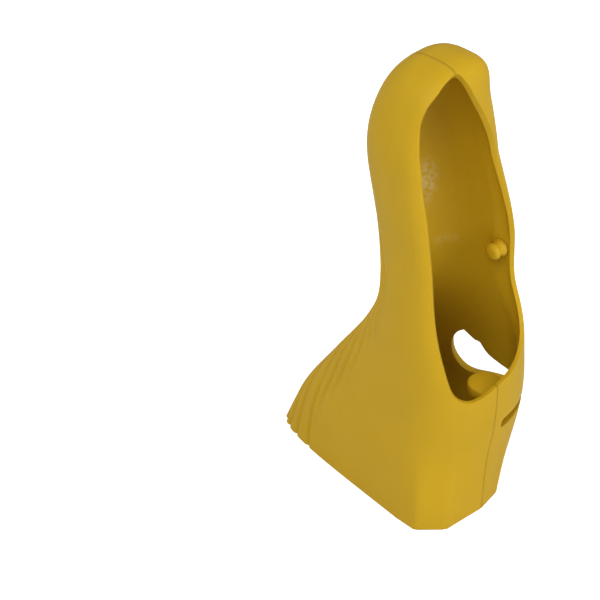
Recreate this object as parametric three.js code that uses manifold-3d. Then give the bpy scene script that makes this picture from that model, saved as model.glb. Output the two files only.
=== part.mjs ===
// Rubber hood for a road bike's brake lever body, right-hand item of the pair.
// One moulded piece: a hollow shell, open at its rear rim and along its underside,
// with a thumb lever hole in the inboard side and curved ridges over the palm face.
//
// Millimetres, +Z up. The hood stands on its flat rear rim, with the nose up.
// Drawing frame: x = 0 at the foot of the underside seam, -X towards the palm and the
// rear tongue, +X towards the underside, +Y towards the inboard (thumb) side.

import * as THREE from 'three';
import { mergeVertices } from 'three/addons/utils/BufferGeometryUtils.js';
import Module from 'manifold-3d';

const wasm = await Module();
wasm.setup();

// Outer form, as stations up the hood.
// palm and under are the x of the two long profiles, half is half the width,
// lean is the y of the middle, and corner is how square the underside is there.
const stations = [
  { z: 0, palm: -60, under: 0, half: 17.2, lean: 1.2, corner: 1.75 },
  { z: 14, palm: -54, under: 0.8, half: 18.4, lean: 2.6, corner: 1.85 },
  { z: 28, palm: -44.8, under: 2.8, half: 18.2, lean: 3.4, corner: 2.05 },
  { z: 42, palm: -35.4, under: 2.4, half: 17.4, lean: 3, corner: 2.3 },
  { z: 56, palm: -29.2, under: -2.8, half: 16.3, lean: 2.2, corner: 2.9 },
  { z: 74, palm: -29, under: -4.8, half: 15.6, lean: 0.8, corner: 3.2 },
  { z: 92, palm: -30.2, under: -7.2, half: 15, lean: -1.8, corner: 3 },
];
const noseHeight = 119.5;
const noseTipX = -18;
const noseFullness = 2.2;

// Section shape: a tapered tongue with a flat end low down, a round crown higher up
const tongueTaper = 0.6;
const crownTaper = 0.9;
const tongueSquareness = 5;
const crownSquareness = 2.5;
const crownStart = 50;
const widestFromUnderside = 12.5;
const widestFromNoseFront = 8.5;

// Walls
const wall = 2;
const palmWall = 2.6;
const noseWall = 2.6;

// Lever opening in the underside, seen along X
const openingBottom = 37.5;
const openingTop = 117.2;
const openingTopY = -2.5;
const openingRim = 1.8;
const openingCornerRadius = 8;
const inboardArchStart = 74;
const outboardArchStart = 98;
const openingArchReach = 12;
const openingBack = -14;
const openingDepth = 24;
const openingRows = 5;

// Thumb lever hole in the inboard wall, seen along Y
const thumbHoleX = -21.5;
const thumbHoleZ = 25.5;
const thumbHoleRadius = 5.6;
const thumbThroatAngle = 62;
const thumbSlotEndX = -1;
const thumbSlotEndZ = 22.5;
const thumbSlotHalf = 2.8;
const thumbSlotSeamGap = 8;
const thumbHoleDepth = 20;
const shroudRise = 1.8;
const shroudAngle = 104;
const shroudHeight = 15;
const shroudSpreadAngle = 34;
const shroudSpreadHeight = 8;

// Ledge across the inside of the nose
const ledgeBottom = 110.5;
const ledgeFront = -17;

// Locating peg on the inside of the inboard wall
const pegZ = 62;
const pegFromOpening = 4.5;
const pegRadius = 1.7;
const pegHeadRadius = 2.1;
const pegLength = 3.4;
const pegHeadLength = 1.4;

// Tab on the inside of the band below the lever opening
const tabWidth = 8;
const tabReach = 8;
const tabThickness = 2.6;
const tabDrop = 1.2;
const tabMiddleY = 2;

// Grooves between the ridges: four leading lines, the others lie evenly between them.
// Each line runs from the inboard side over the palm seam to the outboard side;
// a is the angle round the section from the palm seam, in degrees, z is the height.
const grooveRadius = 1.15;
const grooveDepth = 0.5;
const grooveSides = 6;
const grooveSteps = 20;
const groovesPerLead = 4;
const grooveLeads = [
  [[100, 105], [80, 97.3], [55, 93], [25, 90.8], [-4, 86.5], [-29, 83.2], [-50, 77], [-62, 66], [-68, 53]],
  [[100, 89], [76, 81], [45, 78.6], [20, 76], [-4, 72], [-16, 65], [-28, 57], [-45, 47], [-64, 35]],
  [[97, 76], [78, 69.6], [40, 66], [14, 60], [-4, 47.2], [-13, 39.5], [-28, 28.5], [-50, 16], [-66, -3]],
  [[64, 53], [50, 47.6], [31, 41], [12, 33.6], [-1, 15.4], [-4, 9.6], [-7, 5], [-10, 1], [-13, -3]],
];

// Fineness of the facets
const outerColumns = 60;
const innerColumns = 40;
const bodyRows = 17;
const domeRows = 7;
const roundSteps = 16;

const yellow = 0xc8a028;

// Value of a station's field at height z, on a smooth curve through the stations
function stationValue(field, z) {
  const last = stations.length - 1;
  let i = 0;
  while (i < last - 1 && z > stations[i + 1].z) i += 1;
  const slopeAt = (k) => {
    const a = stations[Math.max(k - 1, 0)];
    const b = stations[Math.min(k + 1, last)];
    return (b[field] - a[field]) / (b.z - a.z);
  };
  const span = stations[i + 1].z - stations[i].z;
  const t = THREE.MathUtils.clamp((z - stations[i].z) / span, 0, 1);
  const t2 = t * t;
  const t3 = t2 * t;
  const from = stations[i][field] * (2 * t3 - 3 * t2 + 1) + slopeAt(i) * span * (t3 - 2 * t2 + t);
  const to = stations[i + 1][field] * (3 * t2 - 2 * t3) + slopeAt(i + 1) * span * (t3 - t2);
  return from + to;
}

// Section at height z of the outer form (inset 0) or of a form inset from it
function sectionAt(z, inset, palmInset, top) {
  const domeStart = stations[stations.length - 1].z;
  const level = THREE.MathUtils.clamp(z, 0, domeStart);
  const climb = THREE.MathUtils.clamp((z - domeStart) / (top - domeStart), 0, 1);
  const shrink = Math.sqrt(Math.max(1 - climb ** noseFullness, 0));
  const crown = THREE.MathUtils.smoothstep(level, 0, crownStart);
  const front = THREE.MathUtils.smoothstep(level, stations[3].z, stations[5].z);
  const palm = stationValue('palm', level) + palmInset;
  const under = stationValue('under', level) - inset;
  const depthOfWidest = THREE.MathUtils.lerp(widestFromUnderside, widestFromNoseFront, front);
  const widest = under + inset - depthOfWidest;
  return {
    z,
    palm: noseTipX + (palm - noseTipX) * shrink,
    under: noseTipX + (under - noseTipX) * shrink,
    widest: noseTipX + (widest - noseTipX) * shrink,
    half: (stationValue('half', level) - inset) * shrink,
    lean: stationValue('lean', level),
    corner: stationValue('corner', level),
    taper: THREE.MathUtils.lerp(tongueTaper, crownTaper, crown),
    squareness: THREE.MathUtils.lerp(tongueSquareness, crownSquareness, crown),
  };
}

// Point of a section at angle a (radians) from the palm seam, + towards the inboard side
function sectionPoint(section, a) {
  const side = Math.sign(a);
  const turn = Math.abs(a);
  const cosine = Math.abs(Math.cos(turn));
  const sine = Math.abs(Math.sin(turn));
  let x;
  let y;
  if (turn <= Math.PI / 2) {
    const along = cosine ** (2 / section.squareness);
    const spread = section.taper + (1 - section.taper) * (1 - along);
    x = section.widest - (section.widest - section.palm) * along;
    y = side * section.half * spread * sine ** (2 / section.squareness);
  } else {
    x = section.widest + (section.under - section.widest) * cosine ** (2 / section.corner);
    y = side * section.half * sine ** (2 / section.corner);
  }
  const degrees = THREE.MathUtils.radToDeg(a);
  const nearness = ((degrees - shroudAngle) / shroudSpreadAngle) ** 2
    + ((section.z - shroudHeight) / shroudSpreadHeight) ** 2;
  y += shroudRise * Math.exp(-nearness);
  return new THREE.Vector3(x, y + section.lean, section.z);
}

function solidFrom(geometry) {
  const bare = geometry.index ? geometry.toNonIndexed() : geometry;
  bare.deleteAttribute('normal');
  bare.deleteAttribute('uv');
  const merged = mergeVertices(bare, 1e-5);
  const mesh = new wasm.Mesh({
    numProp: 3,
    vertProperties: new Float32Array(merged.attributes.position.array),
    triVerts: new Uint32Array(merged.index.array),
  });
  return new wasm.Manifold(mesh);
}

// Closed loft through the sections at the given heights, ending in a point at the top
function loft(heights, sectionOf, columns) {
  const rings = heights.map((z) => {
    const section = sectionOf(z);
    const ring = [];
    for (let j = 0; j < columns; j += 1) {
      ring.push(sectionPoint(section, -Math.PI + (2 * Math.PI * (j + 0.5)) / columns));
    }
    return ring;
  });
  const corners = [];
  const face = (a, b, c) => corners.push(...a.toArray(), ...b.toArray(), ...c.toArray());
  for (let i = 0; i + 1 < rings.length; i += 1) {
    for (let j = 0; j < columns; j += 1) {
      const k = (j + 1) % columns;
      face(rings[i][k], rings[i][j], rings[i + 1][j]);
      face(rings[i][k], rings[i + 1][j], rings[i + 1][k]);
    }
  }
  const middle = (ring) => ring.reduce((sum, p) => sum.add(p), new THREE.Vector3()).divideScalar(columns);
  const foot = middle(rings[0]);
  const top = rings[rings.length - 1];
  const peak = middle(top);
  for (let j = 0; j < columns; j += 1) {
    const k = (j + 1) % columns;
    face(rings[0][j], rings[0][k], foot);
    face(top[k], top[j], peak);
  }
  const geometry = new THREE.BufferGeometry();
  geometry.setAttribute('position', new THREE.Float32BufferAttribute(corners, 3));
  return solidFrom(geometry);
}

// Heights of the loft's rows: even up the body, then closing in towards the nose
function rowHeights(foot, top) {
  const domeStart = stations[stations.length - 1].z;
  const heights = [];
  for (let i = 0; i < bodyRows; i += 1) heights.push(foot + ((domeStart - foot) * i) / bodyRows);
  for (let i = 0; i <= domeRows; i += 1) {
    const turn = (0.96 * Math.PI * i) / (2 * domeRows);
    heights.push(domeStart + (top - domeStart) * Math.sin(turn));
  }
  return heights;
}

function outerBody() {
  const sectionOf = (z) => sectionAt(z, 0, 0, noseHeight);
  return loft(rowHeights(0, noseHeight), sectionOf, outerColumns);
}

function cavity() {
  const top = noseHeight - noseWall;
  const sectionOf = (z) => sectionAt(z, wall, palmWall, top);
  const heights = rowHeights(0, top);
  const below = heights.map((z, i) => (i === 0 ? -wall : z));
  return loft(below, (z) => ({ ...sectionOf(Math.max(z, 0)), z }), innerColumns);
}

function extruded(shape, depth) {
  return new THREE.ExtrudeGeometry(shape, { depth, bevelEnabled: false, curveSegments: roundSteps });
}

// Lever opening: an arched outline cut through the underside along X
function leverOpening() {
  const outline = new THREE.Shape();
  const half = (z) => stationValue('half', z) - openingRim;
  const lean = (z) => stationValue('lean', z);
  const inboard = (z) => lean(z) + half(z);
  const outboard = (z) => lean(z) - half(z);
  const corner = openingBottom + openingCornerRadius;
  const inboardRise = inboardArchStart - corner;
  const outboardRise = outboardArchStart - corner;
  outline.moveTo(outboard(corner) + openingCornerRadius, openingBottom);
  outline.lineTo(inboard(corner) - openingCornerRadius, openingBottom);
  outline.quadraticCurveTo(inboard(corner), openingBottom, inboard(corner), corner);
  for (let i = 1; i <= openingRows; i += 1) {
    const z = corner + (inboardRise * i) / openingRows;
    outline.lineTo(inboard(z), z);
  }
  const peak = new THREE.Vector2(openingTopY, openingTop);
  const reach = openingArchReach;
  outline.bezierCurveTo(inboard(inboardArchStart) - 1, inboardArchStart + reach, peak.x + reach / 2, peak.y - reach,
    peak.x, peak.y);
  outline.bezierCurveTo(peak.x - reach / 2, peak.y, outboard(outboardArchStart), peak.y - reach / 2,
    outboard(outboardArchStart), outboardArchStart);
  for (let i = openingRows - 1; i >= 0; i -= 1) {
    const z = corner + (outboardRise * i) / openingRows;
    outline.lineTo(outboard(z), z);
  }
  outline.quadraticCurveTo(outboard(corner), openingBottom, outboard(corner) + openingCornerRadius, openingBottom);
  outline.closePath();
  const geometry = extruded(outline, openingDepth);
  // The outline is drawn in x, y: x becomes Y and y becomes Z, and the depth runs along X
  const toFront = new THREE.Matrix4().makeBasis(
    new THREE.Vector3(0, 1, 0),
    new THREE.Vector3(0, 0, 1),
    new THREE.Vector3(1, 0, 0),
  );
  geometry.applyMatrix4(toFront);
  geometry.translate(openingBack, 0, 0);
  return solidFrom(geometry);
}

// Thumb lever hole: a keyhole outline cut through the inboard side along Y
function thumbHole() {
  const outline = new THREE.Shape();
  const run = new THREE.Vector2(thumbSlotEndX - thumbHoleX, thumbSlotEndZ - thumbHoleZ);
  const reach = run.length();
  const radius = thumbHoleRadius;
  const from = THREE.MathUtils.degToRad(thumbThroatAngle);
  const until = 2 * Math.PI - Math.asin(thumbSlotHalf / radius);
  outline.absarc(0, 0, radius, from, until, false);
  outline.absarc(reach, 0, thumbSlotHalf, -Math.PI / 2, Math.PI / 2, false);
  outline.lineTo(radius + thumbSlotHalf, thumbSlotHalf);
  outline.quadraticCurveTo(radius, thumbSlotHalf, radius * Math.cos(from), radius * Math.sin(from));
  const geometry = extruded(outline, thumbHoleDepth);
  geometry.rotateZ(run.angle());
  geometry.translate(thumbHoleX, thumbHoleZ, -thumbHoleDepth);
  // The drawing is stood up: its y becomes Z, and the depth runs back along Y
  geometry.rotateX(Math.PI / 2);
  geometry.translate(0, thumbSlotSeamGap, 0);
  return solidFrom(geometry);
}

// Ledge across the nose, as deep as the nose and cut to the outer form
function noseLedge(outer) {
  const back = stations[6].palm;
  const height = noseHeight - ledgeBottom;
  const width = 2 * stations[6].half;
  const geometry = new THREE.BoxGeometry(ledgeFront - back, width, height);
  geometry.translate((ledgeFront + back) / 2, stations[6].lean, ledgeBottom + height / 2);
  return solidFrom(geometry).intersect(outer);
}

// Peg: a short stem with a wider round head, standing inward from the inboard wall
function locatingPeg() {
  const root = stationValue('lean', pegZ) + stationValue('half', pegZ) - wall / 2;
  const stemLength = pegLength - pegHeadLength + wall / 2;
  const profile = [
    new THREE.Vector2(0, 0),
    new THREE.Vector2(pegRadius, 0),
    new THREE.Vector2(pegRadius, stemLength),
    new THREE.Vector2(pegHeadRadius, stemLength + pegHeadLength * 0.35),
    new THREE.Vector2(pegHeadRadius * 0.8, stemLength + pegHeadLength * 0.85),
    new THREE.Vector2(0, stemLength + pegHeadLength),
  ];
  const geometry = new THREE.LatheGeometry(profile, roundSteps);
  geometry.rotateX(Math.PI);
  geometry.translate(stationValue('under', pegZ) - widestFromNoseFront + pegFromOpening - 2, root, pegZ);
  return solidFrom(geometry);
}

// Tab: a round-ended tongue from the band into the cavity
function bandTab() {
  const outline = new THREE.Shape();
  const half = tabWidth / 2;
  const start = stationValue('under', openingBottom) - wall / 2;
  outline.moveTo(0, -half);
  outline.lineTo(0, half);
  outline.lineTo(-(tabReach - half), half);
  outline.absarc(-(tabReach - half), 0, half, Math.PI / 2, (3 * Math.PI) / 2, false);
  outline.closePath();
  const geometry = extruded(outline, tabThickness);
  geometry.translate(start, tabMiddleY, openingBottom - tabDrop - tabThickness);
  return solidFrom(geometry);
}

// Point just off the outer face at angle a and height z, as far out as asked
function aboveFace(degrees, z, offset) {
  const a = THREE.MathUtils.degToRad(degrees);
  const step = 0.02;
  const at = (angle, height) => sectionPoint(sectionAt(height, 0, 0, noseHeight), angle);
  const level = Math.max(z, 0.1);
  const spot = at(a, level);
  const round = at(a + step, level).sub(at(a - step, level));
  const up = at(a, level + 0.5).sub(at(a, level - 0.1));
  const outward = up.cross(round).normalize();
  spot.addScaledVector(outward, offset);
  spot.z += z - level;
  return spot;
}

// Points of groove number k, evenly between the leading lines on either side
function groovePath(k) {
  const lead = Math.min(Math.floor(k / groovesPerLead), grooveLeads.length - 2);
  const share = (k - lead * groovesPerLead) / groovesPerLead;
  const first = share > 1 ? 4 : 0;
  const points = [];
  for (let i = first; i < grooveLeads[0].length; i += 1) {
    const [a0, z0] = grooveLeads[lead][i];
    const [a1, z1] = grooveLeads[lead + 1][i];
    const a = THREE.MathUtils.lerp(a0, a1, share);
    const z = THREE.MathUtils.lerp(z0, z1, share);
    points.push(aboveFace(a, z, grooveRadius - grooveDepth));
  }
  return new THREE.CatmullRomCurve3(points, false, 'centripetal');
}

function groove(k) {
  const section = new THREE.Shape();
  for (let i = 0; i < grooveSides; i += 1) {
    const turn = (2 * Math.PI * i) / grooveSides;
    const x = grooveRadius * Math.cos(turn);
    const y = grooveRadius * Math.sin(turn);
    if (i === 0) section.moveTo(x, y);
    else section.lineTo(x, y);
  }
  section.closePath();
  const path = groovePath(k);
  return solidFrom(new THREE.ExtrudeGeometry(section, { steps: grooveSteps, extrudePath: path, bevelEnabled: false }));
}

function hoodSolid() {
  const outer = outerBody();
  let shell = outer.subtract(cavity());
  shell = shell.add(noseLedge(outer));
  shell = shell.subtract(leverOpening());
  shell = shell.subtract(thumbHole());
  shell = shell.add(locatingPeg());
  shell = shell.add(bandTab());
  const grooveCount = groovesPerLead * (grooveLeads.length - 1) + 2;
  for (let k = 0; k < grooveCount; k += 1) shell = shell.subtract(groove(k));
  return shell;
}

function meshFrom(solid, name, material) {
  const result = solid.getMesh();
  const geometry = new THREE.BufferGeometry();
  geometry.setAttribute('position', new THREE.BufferAttribute(new Float32Array(result.vertProperties), 3));
  geometry.setIndex(new THREE.BufferAttribute(new Uint32Array(result.triVerts), 1));
  geometry.computeVertexNormals();
  const mesh = new THREE.Mesh(geometry, material);
  mesh.name = name;
  return mesh;
}

const rubber = new THREE.MeshStandardMaterial({ color: yellow, roughness: 0.75, metalness: 0 });
const hood = meshFrom(hoodSolid(), 'hood', rubber);

// The origin is the middle of the hood's footprint, on the plane of the rear rim
const extent = new THREE.Box3().setFromObject(hood);
const middle = extent.getCenter(new THREE.Vector3());
const group = new THREE.Group();
hood.position.set(-middle.x, -middle.y, -extent.min.z);
group.add(hood);

export default group;
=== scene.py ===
"""Looks of a rubber brake lever hood for a road bike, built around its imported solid.

The hood is one moulded piece: a hollow shell with a rear tongue, a long nose, a lever
opening in the underside, a thumb lever hole in the inboard side and curved grooves
between soft ridges over the palm side.

Sizes are in millimetres in the drawing frame: x = 0 at the foot of the underside seam,
-X towards the palm, +Y towards the inboard side, z = 0 on the rear rim. They are brought
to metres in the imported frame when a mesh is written.
"""

import logging
import math
from collections.abc import Callable
from dataclasses import dataclass, field
from enum import Enum

import bpy
import numpy as np
from mathutils import Matrix, Vector
from mathutils.bvhtree import BVHTree
from mathutils.kdtree import KDTree


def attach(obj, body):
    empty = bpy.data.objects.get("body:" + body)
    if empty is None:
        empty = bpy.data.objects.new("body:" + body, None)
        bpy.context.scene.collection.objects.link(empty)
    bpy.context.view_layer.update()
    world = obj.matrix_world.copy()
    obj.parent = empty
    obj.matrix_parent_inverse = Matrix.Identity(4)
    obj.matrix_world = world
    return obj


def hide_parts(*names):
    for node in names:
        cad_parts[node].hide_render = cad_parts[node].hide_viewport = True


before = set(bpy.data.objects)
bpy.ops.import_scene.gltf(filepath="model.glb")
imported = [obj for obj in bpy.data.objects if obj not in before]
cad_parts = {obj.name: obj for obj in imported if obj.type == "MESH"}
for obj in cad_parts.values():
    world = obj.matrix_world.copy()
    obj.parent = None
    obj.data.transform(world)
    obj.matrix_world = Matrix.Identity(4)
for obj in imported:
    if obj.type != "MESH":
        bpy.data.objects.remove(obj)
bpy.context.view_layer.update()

log = logging.getLogger("hood")

MILLIMETRE = 0.001
QUARTER_TURN = math.pi / 2
DRAWING_MIDDLE = np.array([-28.487, 2.999, 0.0])


def to_frame(points: np.ndarray) -> np.ndarray:
    """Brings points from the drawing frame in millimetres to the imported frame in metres.

    Args:
        points: array whose last axis is x, y, z.

    Returns:
        Array of the same shape, in metres.
    """
    return (points - DRAWING_MIDDLE) * MILLIMETRE


def to_drawing(points: np.ndarray) -> np.ndarray:
    """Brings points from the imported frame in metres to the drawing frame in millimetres.

    Args:
        points: array whose last axis is x, y, z.

    Returns:
        Array of the same shape, in millimetres.
    """
    return points / MILLIMETRE + DRAWING_MIDDLE


def smoothstep(value: np.ndarray | float, low: float, high: float) -> np.ndarray | float:
    """Rises smoothly from 0 at low to 1 at high.

    Args:
        value: where to read the rise.
        low: where it starts.
        high: where it ends.

    Returns:
        The rise, from 0 to 1.
    """
    share = np.clip((value - low) / (high - low), 0.0, 1.0)
    return share * share * (3.0 - 2.0 * share)


def polyline(points: np.ndarray, share: np.ndarray) -> np.ndarray:
    """Points along a line of straight pieces.

    Args:
        points: the line's corners.
        share: places wanted, from 0 at its start to 1 at its end.

    Returns:
        Points at those places.
    """
    steps = np.linalg.norm(np.diff(points, axis=0), axis=1)
    reach = np.concatenate([[0.0], np.cumsum(steps)]) / steps.sum()
    return np.stack([np.interp(share, reach, points[:, axis]) for axis in range(2)], axis=-1)


@dataclass(frozen=True)
class Station:
    """One cross-section of the outer form: its height, two profiles, width and corners."""

    z: float
    palm: float
    under: float
    half: float
    lean: float
    corner: float
    inboard_corner: float


@dataclass(frozen=True)
class Wall:
    """One face of the shell: how far it lies inside the outer form, and its top."""

    inset: float
    palm_inset: float
    top: float


@dataclass(frozen=True)
class HoodForm:
    """The hood's form as cross-sections up its height."""

    stations: tuple[Station, ...] = (
        Station(0, -60, 0, 17.2, 1.2, 1.75, 1.75),
        Station(14, -54, 0.8, 18.4, 2.6, 1.85, 1.8),
        Station(28, -44.8, 2.8, 18.2, 3.4, 2.05, 1.8),
        Station(42, -35.4, 2.4, 17.4, 3, 2.6, 2.0),
        Station(56, -29.2, -2.8, 16.3, 2.2, 3.1, 3.6),
        Station(74, -29, -4.8, 15.6, 0.8, 3.2, 4.9),
        Station(92, -30.2, -7.2, 15, -1.8, 3.8, 4.2),
    )
    nose_height: float = 119.5
    nose_tip_x: float = -18.0
    nose_fullness: float = 2.2
    front_fullness: float = 9.0
    front_bluntness: float = 4.0
    top_fullness: float = 3.3
    top_bluntness: float = 2.6
    nose_lean: float = 1.5
    top_lean: float = 0.5
    top_from: float = 0.55
    top_to: float = 0.95
    top_lean_from: float = 0.6
    rim_corner_from: float = 3.0
    rim_corner_to: float = 24.0
    outboard_rim: tuple[tuple[float, float], ...] = (
        (0, 17.2), (6.2, 17.6), (11.6, 12.3), (12.5, 1.2), (12.5, 0),
    )
    inboard_rim: tuple[tuple[float, float], ...] = ((0, 17.2), (4.6, 16.6), (11.3, 6.6), (12.5, 0))
    tongue_taper: float = 0.6
    crown_taper: float = 0.9
    tongue_squareness: float = 5.0
    crown_squareness: float = 2.5
    crown_start: float = 50.0
    widest_from_underside: float = 12.5
    widest_from_nose_front: float = 8.5
    shroud_rise: float = 1.8
    shroud_angle: float = 104.0
    shroud_height: float = 15.0
    shroud_spread_angle: float = 34.0
    shroud_spread_height: float = 8.0
    body_share: float = 0.742

    @property
    def dome_start(self) -> float:
        """Height at which the nose starts to close in."""
        return self.stations[-1].z

    def squareness(self, level: float) -> float:
        """Exponent of the palm part of a section at a height."""
        crown = float(smoothstep(level, 0.0, self.crown_start))
        return self.tongue_squareness + (self.crown_squareness - self.tongue_squareness) * crown

    def value(self, name: str, z: float) -> float:
        """Value of a station's field at a height, on a smooth curve.

        Args:
            name: field of Station.
            z: height in millimetres.

        Returns:
            The field's value there.
        """
        heights = [station.z for station in self.stations]
        values = [getattr(station, name) for station in self.stations]
        last = len(heights) - 1
        i = 0
        while i < last - 1 and z > heights[i + 1]:
            i += 1

        def slope(k: int) -> float:
            """Slope of the curve at station k."""
            a, b = max(k - 1, 0), min(k + 1, last)
            return (values[b] - values[a]) / (heights[b] - heights[a])

        span = heights[i + 1] - heights[i]
        t = min(max((z - heights[i]) / span, 0.0), 1.0)
        t2, t3 = t * t, t * t * t
        start = values[i] * (2 * t3 - 3 * t2 + 1) + slope(i) * span * (t3 - 2 * t2 + t)
        end = values[i + 1] * (3 * t2 - 2 * t3) + slope(i + 1) * span * (t3 - t2)
        return start + end

    def ring(self, z: float, wall: Wall, turns: np.ndarray | None = None) -> np.ndarray:
        """Points of one cross-section.

        Args:
            z: height in millimetres.
            wall: which face of the shell.
            turns: angles from the palm seam in radians, + inboard; None gives a close
                set over the inboard half, from the palm to the underside.

        Returns:
            Array of x, y, z rows.
        """
        dome = self.dome_start
        level = min(max(z, 0.0), dome)
        climb = min(max((z - dome) / (wall.top - dome), 0.0), 1.0)
        shrink = math.sqrt(max(1.0 - climb**self.nose_fullness, 0.0))
        blunt = max(1.0 - climb**self.front_fullness, 0.0) ** (1 / self.front_bluntness)
        crown = float(smoothstep(level, 0.0, self.crown_start))
        front = float(smoothstep(level, self.stations[3].z, self.stations[5].z))
        palm = self.value("palm", level) + wall.palm_inset
        under = self.value("under", level) - wall.inset
        depth = self.widest_from_underside
        depth += (self.widest_from_nose_front - depth) * front
        widest = under + wall.inset - depth
        tip = self.nose_tip_x
        palm, widest = (tip + (x - tip) * shrink for x in (palm, widest))
        under = tip + (under - tip) * blunt
        broad = max(1.0 - climb**self.top_fullness, 0.0) ** (1 / self.top_bluntness)
        broad = shrink + (broad - shrink) * float(smoothstep(climb, self.top_from, self.top_to))
        half = (self.value("half", level) - wall.inset) * broad
        lean = self.value("lean", level) - self.nose_lean * math.sin(math.pi * climb)
        lean += self.top_lean * float(smoothstep(climb, self.top_lean_from, 1.0))
        corner = self.value("corner", level)
        inboard_corner = self.value("inboard_corner", level)
        taper = self.tongue_taper + (self.crown_taper - self.tongue_taper) * crown
        squareness = self.squareness(level)
        if turns is None:
            turns = self.close_turns(squareness, corner)
        side = np.sign(turns)
        turn = np.abs(turns)
        cosine = np.abs(np.cos(turn))
        sine = np.abs(np.sin(turn))
        along = cosine ** (2 / squareness)
        spread = taper + (1 - taper) * (1 - along)
        x = widest - (widest - palm) * along
        y = half * spread * sine ** (2 / squareness)
        behind = turn > QUARTER_TURN
        corner = np.where(side[behind] > 0, inboard_corner, corner)
        x[behind] = widest + (under - widest) * cosine[behind] ** (2 / corner)
        y[behind] = half * sine[behind] ** (2 / corner)
        crisp = 1 - float(smoothstep(z, self.rim_corner_from, self.rim_corner_to))
        if crisp > 0:
            deep = (under - widest) / self.widest_from_underside
            wide = half / self.stations[0].half
            for sign, rim in ((-1, self.outboard_rim), (1, self.inboard_rim)):
                here = behind & (side == sign)
                share = (turn[here] - QUARTER_TURN) / QUARTER_TURN
                spots = polyline(np.array(rim, dtype=float), share)
                x[here] += (widest + deep * spots[:, 0] - x[here]) * crisp
                y[here] += (wide * spots[:, 1] - y[here]) * crisp
        around = (np.degrees(turns) - self.shroud_angle) / self.shroud_spread_angle
        along_z = (z - self.shroud_height) / self.shroud_spread_height
        y = side * y + self.shroud_rise * np.exp(-(around**2 + along_z**2)) + lean
        return np.stack([x, y, np.full_like(x, z)], axis=-1)

    @staticmethod
    def close_turns(squareness: float, corner: float) -> np.ndarray:
        """Angles over half a section, closer where the section turns fast.

        Args:
            squareness: exponent of the palm part.
            corner: exponent of the underside part.

        Returns:
            Sorted angles from 0 to pi.
        """
        share = np.linspace(0.0, 1.0, 161)
        parts = [
            np.linspace(0.0, math.pi, 181),
            np.arcsin(share ** (squareness / 2)),
            np.arccos(share ** (squareness / 2)),
            math.pi - np.arcsin(share ** (corner / 2)),
            math.pi - np.arccos(share ** (corner / 2)),
        ]
        return np.unique(np.concatenate(parts))

    def height(self, along: float, top: float) -> float:
        """Height of a place along the shell, from 0 at the rim to 1 at the nose tip."""
        if along <= self.body_share:
            return self.dome_start * along / self.body_share
        turn = (along - self.body_share) / (1 - self.body_share) * QUARTER_TURN
        return self.dome_start + (top - self.dome_start) * math.sin(turn)

    def along(self, z: np.ndarray) -> np.ndarray:
        """Place along the shell of heights on the outer face.

        Args:
            z: heights in millimetres.

        Returns:
            Places from 0 at the rim to 1 at the nose tip.
        """
        dome = self.dome_start
        lift = np.clip((z - dome) / (self.nose_height - dome), 0.0, 1.0)
        upper = self.body_share + (1 - self.body_share) * np.arcsin(lift) / QUARTER_TURN
        return np.where(z <= dome, self.body_share * z / dome, upper)


@dataclass
class WallTable:
    """One face of the shell as a close grid of points, read by place.

    The first place, around, runs from 0 at the underside seam over the outboard side,
    0.5 at the palm seam and the inboard side to 1. The second, along, runs from 0 at the
    rim to 1 at the nose tip.
    """

    form: HoodForm
    wall: Wall
    rows: int = 360
    half_columns: int = 200
    plain_corner: float = 2.0
    grid: np.ndarray = field(init=False)

    def __post_init__(self) -> None:
        """Fills the grid, even in arc length round each half of a section."""
        share = np.linspace(0.0, 1.0, self.half_columns + 1)
        plain = HoodForm.close_turns(self.form.crown_squareness, self.plain_corner)
        rows = []
        for i in range(self.rows + 1):
            z = self.form.height(i / self.rows, self.wall.top)
            level = min(max(z, 0.0), self.form.dome_start)
            corner = self.form.value("corner", level)
            close = HoodForm.close_turns(self.form.squareness(level), corner)
            turns = np.unique(np.concatenate([plain, close]))
            inboard = self._even(self.form.ring(z, self.wall, turns), share)
            outboard = self._even(self.form.ring(z, self.wall, -turns), share)
            rows.append(np.concatenate([outboard[::-1], inboard[1:]]))
        self.grid = np.array(rows)

    @staticmethod
    def _even(points: np.ndarray, share: np.ndarray) -> np.ndarray:
        """Resamples a line of points evenly in arc length.

        Args:
            points: the line.
            share: places wanted, from 0 to 1.

        Returns:
            Points at those places.
        """
        steps = np.linalg.norm(np.diff(points, axis=0), axis=1)
        reach = np.concatenate([[0.0], np.cumsum(steps)])
        total = max(reach[-1], 1e-9)
        return np.stack(
            [np.interp(share, reach / total, points[:, axis]) for axis in range(3)],
            axis=-1,
        )

    def at(self, around: np.ndarray, along: np.ndarray) -> np.ndarray:
        """Points of the face at places.

        Args:
            around: places round the section, any turn.
            along: places along the shell.

        Returns:
            Array of x, y, z rows.
        """
        columns = 2 * self.half_columns
        across = np.mod(around, 1.0) * columns
        up = np.clip(along, 0.0, 1.0) * self.rows
        j = np.minimum(across.astype(int), columns - 1)
        i = np.minimum(up.astype(int), self.rows - 1)
        s = (across - j)[:, None]
        t = (up - i)[:, None]
        grid = self.grid
        low = grid[i, j] * (1 - s) + grid[i, j + 1] * s
        high = grid[i + 1, j] * (1 - s) + grid[i + 1, j + 1] * s
        return low * (1 - t) + high * t

    def tree(self) -> BVHTree:
        """Search tree over the face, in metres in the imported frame."""
        rows, columns = self.grid.shape[:2]
        points = to_frame(self.grid.reshape(-1, 3))
        i, j = np.meshgrid(np.arange(rows - 1), np.arange(columns - 1), indexing="ij")
        corner = (i * columns + j).ravel()
        quads = np.stack([corner, corner + 1, corner + columns + 1, corner + columns], axis=-1)
        return BVHTree.FromPolygons(points.tolist(), quads.tolist())


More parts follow.
